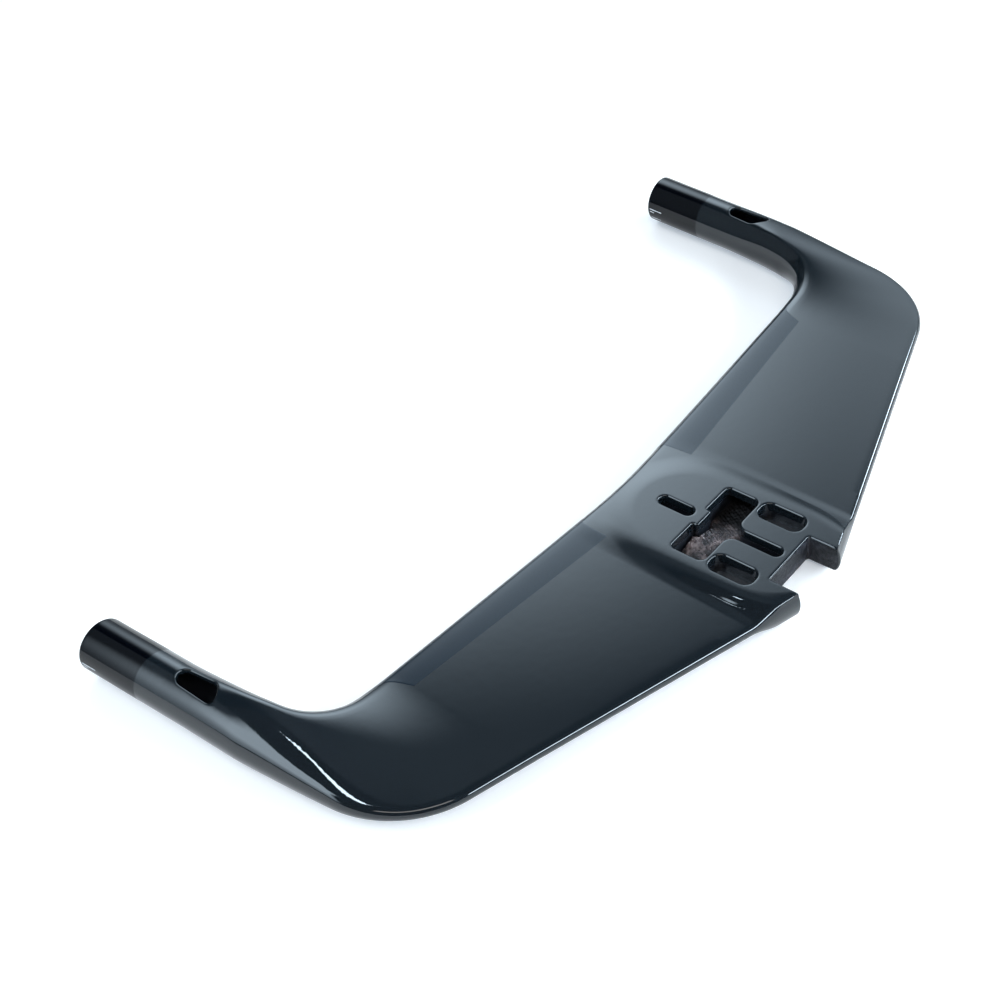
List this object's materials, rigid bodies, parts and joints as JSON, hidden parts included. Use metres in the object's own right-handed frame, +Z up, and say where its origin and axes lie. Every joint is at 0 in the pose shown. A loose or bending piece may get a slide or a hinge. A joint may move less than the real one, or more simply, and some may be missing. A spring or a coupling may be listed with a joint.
{
  "type": "bicycle base bar",
  "caption": "Flat hollow carbon base bar for a time-trial bicycle: a swept wing with a slotted centre boss, a rear notch and forward round horns.",
  "frame": {"origin": "bottom centre of the whole bar, on the plane that it rests on", "axes": "+X to the rider's right, +Y forward along the horns, +Z up out of the deck"},
  "size_m": [0.4, 0.2076, 0.023],
  "materials": {
    "painted_carbon": "gloss dark blue-grey paint with clear coat over moulded carbon laminate",
    "raw_carbon": "unpainted moulded carbon laminate, brown-grey and mottled",
    "edge_film": "dark satin film",
    "foam_core": "light structural foam"
  },
  "bodies": {
    "root": {"wing_upper_skin": "painted_carbon", "wing_lower_skin": "painted_carbon", "centre_boss": "painted_carbon", "left_horn": "painted_carbon", "right_horn": "painted_carbon", "notch_web": "raw_carbon", "left_ear_core": "raw_carbon", "right_ear_core": "raw_carbon", "left_bolt_sleeve": "raw_carbon", "right_bolt_sleeve": "raw_carbon", "front_slot_sleeve": "raw_carbon", "centre_slot_sleeve": "raw_carbon", "left_spar": "raw_carbon", "right_spar": "raw_carbon", "left_joint_sleeve": "raw_carbon", "right_joint_sleeve": "raw_carbon", "left_edge_film": "edge_film", "right_edge_film": "edge_film", "left_trailing_edge_core": "foam_core", "right_trailing_edge_core": "foam_core"}
  },
  "joints": []
}
